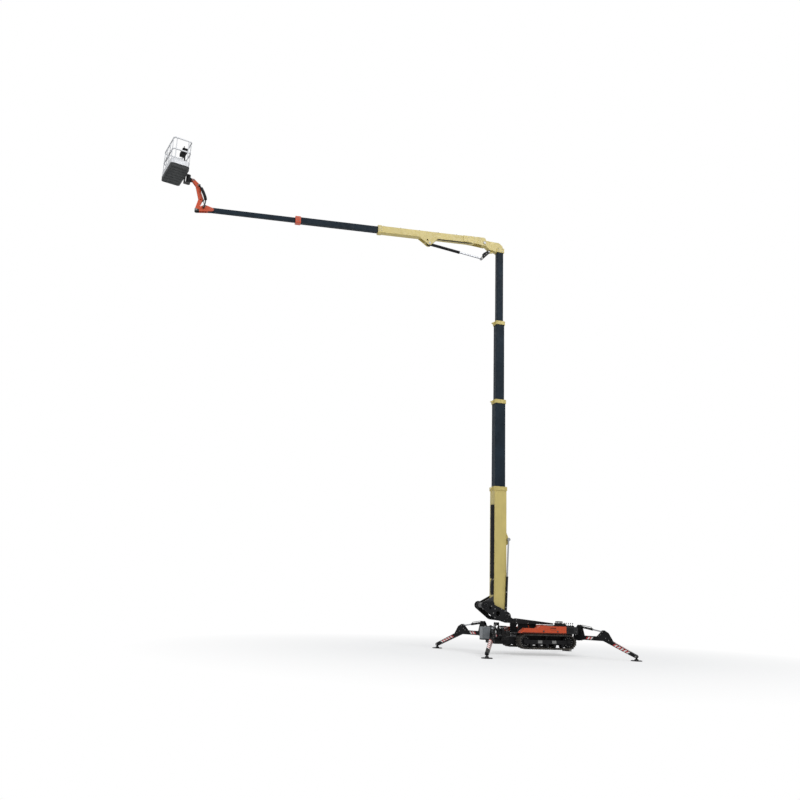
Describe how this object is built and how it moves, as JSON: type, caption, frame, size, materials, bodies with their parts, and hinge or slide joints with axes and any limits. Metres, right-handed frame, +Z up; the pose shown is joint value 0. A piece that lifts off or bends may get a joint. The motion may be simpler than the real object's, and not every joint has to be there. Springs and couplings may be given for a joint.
{
  "type": "tracked articulating boom lift",
  "caption": "Self-propelled aerial work platform: telescopic mast, knuckle boom, jib and basket on a slewing turret, rubber tracks and stabilising outriggers.",
  "frame": {"origin": "slew axis on the ground that the outrigger feet stand on", "axes": "+Z up along the slew axis, -X the way the boom points, +Y to the far side of the picture"},
  "size_m": [17.9892, 5.437, 18.045],
  "materials": {
    "black_paint": "satin",
    "track_rubber": "matte",
    "orange_paint": "gloss",
    "cast": "matte",
    "grey_paint": "satin",
    "black_plastic": "matte",
    "ring_steel": "brushed",
    "rod_chrome": "polished",
    "cream_paint": "gloss",
    "dark_paint": "satin",
    "floor_grey": "satin",
    "basket_alloy": "satin",
    "leg_paint": "gloss"
  },
  "bodies": {
    "chassis": {"chassis_frame": "black_paint", "track_frame_left": "black_paint", "track_frame_right": "black_paint", "track_left": "track_rubber", "track_right": "track_rubber", "hood_left": "orange_paint", "hood_right": "orange_paint", "engine_block": "cast", "cabinet": "grey_paint", "lever_bank": "black_plastic", "slew_ring": "ring_steel"},
    "turret": {"turret_deck": "black_paint", "turret_cheek_left": "black_paint", "turret_cheek_right": "black_paint", "turret_covers": "black_plastic", "mast_pin": "ring_steel"},
    "mast_barrels": {"mast_barrels": "black_paint"},
    "mast_rods": {"mast_rods": "rod_chrome"},
    "mast_0": {"mast_base": "cream_paint", "hose_tray": "black_plastic"},
    "mast_1": {"mast_tube_1": "dark_paint", "mast_collar_1": "cream_paint"},
    "mast_2": {"mast_tube_2": "dark_paint", "mast_collar_2": "cream_paint"},
    "mast_3": {"mast_tube_3": "dark_paint", "mast_head": "cream_paint"},
    "rocker": {"rocker": "black_paint"},
    "boom_0": {"boom_base": "cream_paint"},
    "boom_1": {"boom_tube_1": "dark_paint", "boom_collar": "orange_paint"},
    "boom_2": {"boom_tube_2": "dark_paint", "boom_tip": "orange_paint"},
    "boom_barrel": {"boom_barrel": "black_paint"},
    "boom_rod": {"boom_rod": "rod_chrome"},
    "jib": {"jib_arm": "orange_paint"},
    "jib_barrel": {"jib_barrel": "black_paint"},
    "jib_rod": {"jib_rod": "rod_chrome"},
    "bracket": {"basket_bracket": "black_paint"},
    "basket": {"basket_floor": "floor_grey", "basket_rails": "basket_alloy", "basket_console": "black_plastic"},
    "leg_front_left": {"leg_front_left": "leg_paint"},
    "leg_barrel_front_left": {"leg_barrel_front_left": "black_paint"},
    "leg_rod_front_left": {"leg_rod_front_left": "rod_chrome"},
    "leg_front_right": {"leg_front_right": "leg_paint"},
    "leg_barrel_front_right": {"leg_barrel_front_right": "black_paint"},
    "leg_rod_front_right": {"leg_rod_front_right": "rod_chrome"},
    "leg_rear_left": {"leg_rear_left": "leg_paint"},
    "leg_barrel_rear_left": {"leg_barrel_rear_left": "black_paint"},
    "leg_rod_rear_left": {"leg_rod_rear_left": "rod_chrome"},
    "leg_rear_right": {"leg_rear_right": "leg_paint"},
    "leg_barrel_rear_right": {"leg_barrel_rear_right": "black_paint"},
    "leg_rod_rear_right": {"leg_rod_rear_right": "rod_chrome"}
  },
  "joints": [
    {"name": "slew", "type": "hinge", "parent": "chassis", "child": "turret", "pos_m": [0, 0, 0.68], "axis": [0, 0, 1], "range_deg": [-180, 180]},
    {"name": "mast_lift", "type": "hinge", "parent": "turret", "child": "mast_0", "pos_m": [-1.64, 0, 1.69], "axis": [0, -1, 0], "range_deg": [-90, 0]},
    {"name": "mast_barrel_turn", "type": "hinge", "parent": "turret", "child": "mast_barrels", "pos_m": [-0.812, 0, 1.323], "axis": [0, -1, 0], "range_deg": [-109, 1]},
    {"name": "mast_rod_slide", "type": "slide", "parent": "mast_barrels", "child": "mast_rods", "axis": [0.0401, 0, 0.9992], "range_m": [-1.11, 0.01]},
    {"name": "mast_extend", "type": "slide", "parent": "mast_0", "child": "mast_1", "axis": [0, 0, 1], "range_m": [-3.25, 0]},
    {"name": "mast_extend_2", "type": "slide", "parent": "mast_1", "child": "mast_2", "axis": [0, 0, 1], "range_m": [-3.1, 0]},
    {"name": "mast_extend_3", "type": "slide", "parent": "mast_2", "child": "mast_3", "axis": [0, 0, 1], "range_m": [-2.99, 0]},
    {"name": "boom_lift", "type": "hinge", "parent": "mast_3", "child": "boom_0", "pos_m": [-1.72, 0, 16.2], "axis": [0, 1, 0], "range_deg": [-86, 78]},
    {"name": "rocker_turn", "type": "hinge", "parent": "mast_3", "child": "rocker", "pos_m": [-1.5, 0, 15.87], "axis": [0, 1, 0], "range_deg": [-48, 44]},
    {"name": "boom_barrel_turn", "type": "hinge", "parent": "boom_0", "child": "boom_barrel", "pos_m": [-4.09259, 0, 15.80529], "axis": [0, 1, 0], "range_deg": [-10, 9]},
    {"name": "boom_rod_slide", "type": "slide", "parent": "boom_barrel", "child": "boom_rod", "axis": [0.9932, 0, -0.1167], "range_m": [-0.61, 0.55]},
    {"name": "boom_extend", "type": "slide", "parent": "boom_0", "child": "boom_1", "axis": [-0.9986, 0, -0.0523], "range_m": [-3.04, 0]},
    {"name": "boom_extend_2", "type": "slide", "parent": "boom_1", "child": "boom_2", "axis": [-0.9986, 0, -0.0523], "range_m": [-3.03, 0]},
    {"name": "jib_lift", "type": "hinge", "parent": "boom_2", "child": "jib", "pos_m": [-13.275, 0, 15.611], "axis": [0, -1, 0], "range_deg": [-8, 90]},
    {"name": "jib_barrel_turn", "type": "hinge", "parent": "jib", "child": "jib_barrel", "pos_m": [-13.305, 0, 16.631], "axis": [0, -1, 0], "range_deg": [-12.8, 1.3]},
    {"name": "jib_rod_slide", "type": "slide", "parent": "jib_barrel", "child": "jib_rod", "axis": [0.3795, 0, -0.9252], "range_m": [-0.042, 0.46]},
    {"name": "basket_level", "type": "hinge", "parent": "jib", "child": "bracket", "pos_m": [-13.495, 0, 16.801], "axis": [0, 1, 0], "range_deg": [-60, 80]},
    {"name": "basket_swing", "type": "hinge", "parent": "bracket", "child": "basket", "pos_m": [-13.685, 0, 16.891], "axis": [0, 0, 1], "range_deg": [-77, 47]},
    {"name": "leg_front_left_lift", "type": "hinge", "parent": "chassis", "child": "leg_front_left", "pos_m": [-1.38, -0.72, 0.67], "axis": [-0.8572, 0.515, 0], "range_deg": [0, 50]},
    {"name": "leg_barrel_front_left_turn", "type": "hinge", "parent": "chassis", "child": "leg_barrel_front_left", "pos_m": [-1.3285, -0.63428, 1.06], "axis": [-0.8572, 0.515, 0], "range_deg": [-0.1, 51]},
    {"name": "leg_rod_front_left_slide", "type": "slide", "parent": "leg_barrel_front_left", "child": "leg_rod_front_left", "axis": [-0.5089, -0.8469, -0.1544], "range_m": [-0.345, 0.001]},
    {"name": "leg_front_right_lift", "type": "hinge", "parent": "chassis", "child": "leg_front_right", "pos_m": [-1.38, 0.72, 0.67], "axis": [0.8572, 0.515, 0], "range_deg": [0, 50]},
    {"name": "leg_barrel_front_right_turn", "type": "hinge", "parent": "chassis", "child": "leg_barrel_front_right", "pos_m": [-1.3285, 0.63428, 1.06], "axis": [0.8572, 0.515, 0], "range_deg": [-0.1, 51]},
    {"name": "leg_rod_front_right_slide", "type": "slide", "parent": "leg_barrel_front_right", "child": "leg_rod_front_right", "axis": [-0.5089, 0.8469, -0.1544], "range_m": [-0.345, 0.001]},
    {"name": "leg_rear_left_lift", "type": "hinge", "parent": "chassis", "child": "leg_rear_left", "pos_m": [2.05, -0.72, 0.67], "axis": [-0.8572, -0.515, 0], "range_deg": [0, 50]},
    {"name": "leg_barrel_rear_left_turn", "type": "hinge", "parent": "chassis", "child": "leg_barrel_rear_left", "pos_m": [1.9985, -0.63428, 1.06], "axis": [-0.8572, -0.515, 0], "range_deg": [-0.1, 51]},
    {"name": "leg_rod_rear_left_slide", "type": "slide", "parent": "leg_barrel_rear_left", "child": "leg_rod_rear_left", "axis": [0.5089, -0.8469, -0.1544], "range_m": [-0.345, 0.001]},
    {"name": "leg_rear_right_lift", "type": "hinge", "parent": "chassis", "child": "leg_rear_right", "pos_m": [2.05, 0.72, 0.67], "axis": [0.8572, -0.515, 0], "range_deg": [0, 50]},
    {"name": "leg_barrel_rear_right_turn", "type": "hinge", "parent": "chassis", "child": "leg_barrel_rear_right", "pos_m": [1.9985, 0.63428, 1.06], "axis": [0.8572, -0.515, 0], "range_deg": [-0.1, 51]},
    {"name": "leg_rod_rear_right_slide", "type": "slide", "parent": "leg_barrel_rear_right", "child": "leg_rod_rear_right", "axis": [0.5089, 0.8469, -0.1544], "range_m": [-0.345, 0.001]}
  ],
  "couplings": [
    {"joint": "mast_barrel_turn", "follows": "mast_lift", "ratio": 1.194},
    {"joint": "mast_rod_slide", "follows": "mast_lift", "m_per_rad": 0.69866},
    {"joint": "mast_extend_2", "follows": "mast_extend", "ratio": 0.95384},
    {"joint": "mast_extend_3", "follows": "mast_extend", "ratio": 0.91999},
    {"joint": "rocker_turn", "follows": "boom_lift", "ratio": 0.55},
    {"joint": "boom_barrel_turn", "follows": "boom_lift", "ratio": 0.11},
    {"joint": "boom_rod_slide", "follows": "boom_lift", "m_per_rad": 0.4},
    {"joint": "boom_extend_2", "follows": "boom_extend", "ratio": 0.9967},
    {"joint": "jib_barrel_turn", "follows": "jib_lift", "ratio": -0.14},
    {"joint": "jib_rod_slide", "follows": "jib_lift", "m_per_rad": 0.29},
    {"joint": "leg_barrel_front_left_turn", "follows": "leg_front_left_lift", "ratio": 1.0187},
    {"joint": "leg_rod_front_left_slide", "follows": "leg_front_left_lift", "m_per_rad": -0.38969},
    {"joint": "leg_barrel_front_right_turn", "follows": "leg_front_right_lift", "ratio": 1.0187},
    {"joint": "leg_rod_front_right_slide", "follows": "leg_front_right_lift", "m_per_rad": -0.38969},
    {"joint": "leg_barrel_rear_left_turn", "follows": "leg_rear_left_lift", "ratio": 1.0187},
    {"joint": "leg_rod_rear_left_slide", "follows": "leg_rear_left_lift", "m_per_rad": -0.38969},
    {"joint": "leg_barrel_rear_right_turn", "follows": "leg_rear_right_lift", "ratio": 1.0187},
    {"joint": "leg_rod_rear_right_slide", "follows": "leg_rear_right_lift", "m_per_rad": -0.38969}
  ]
}
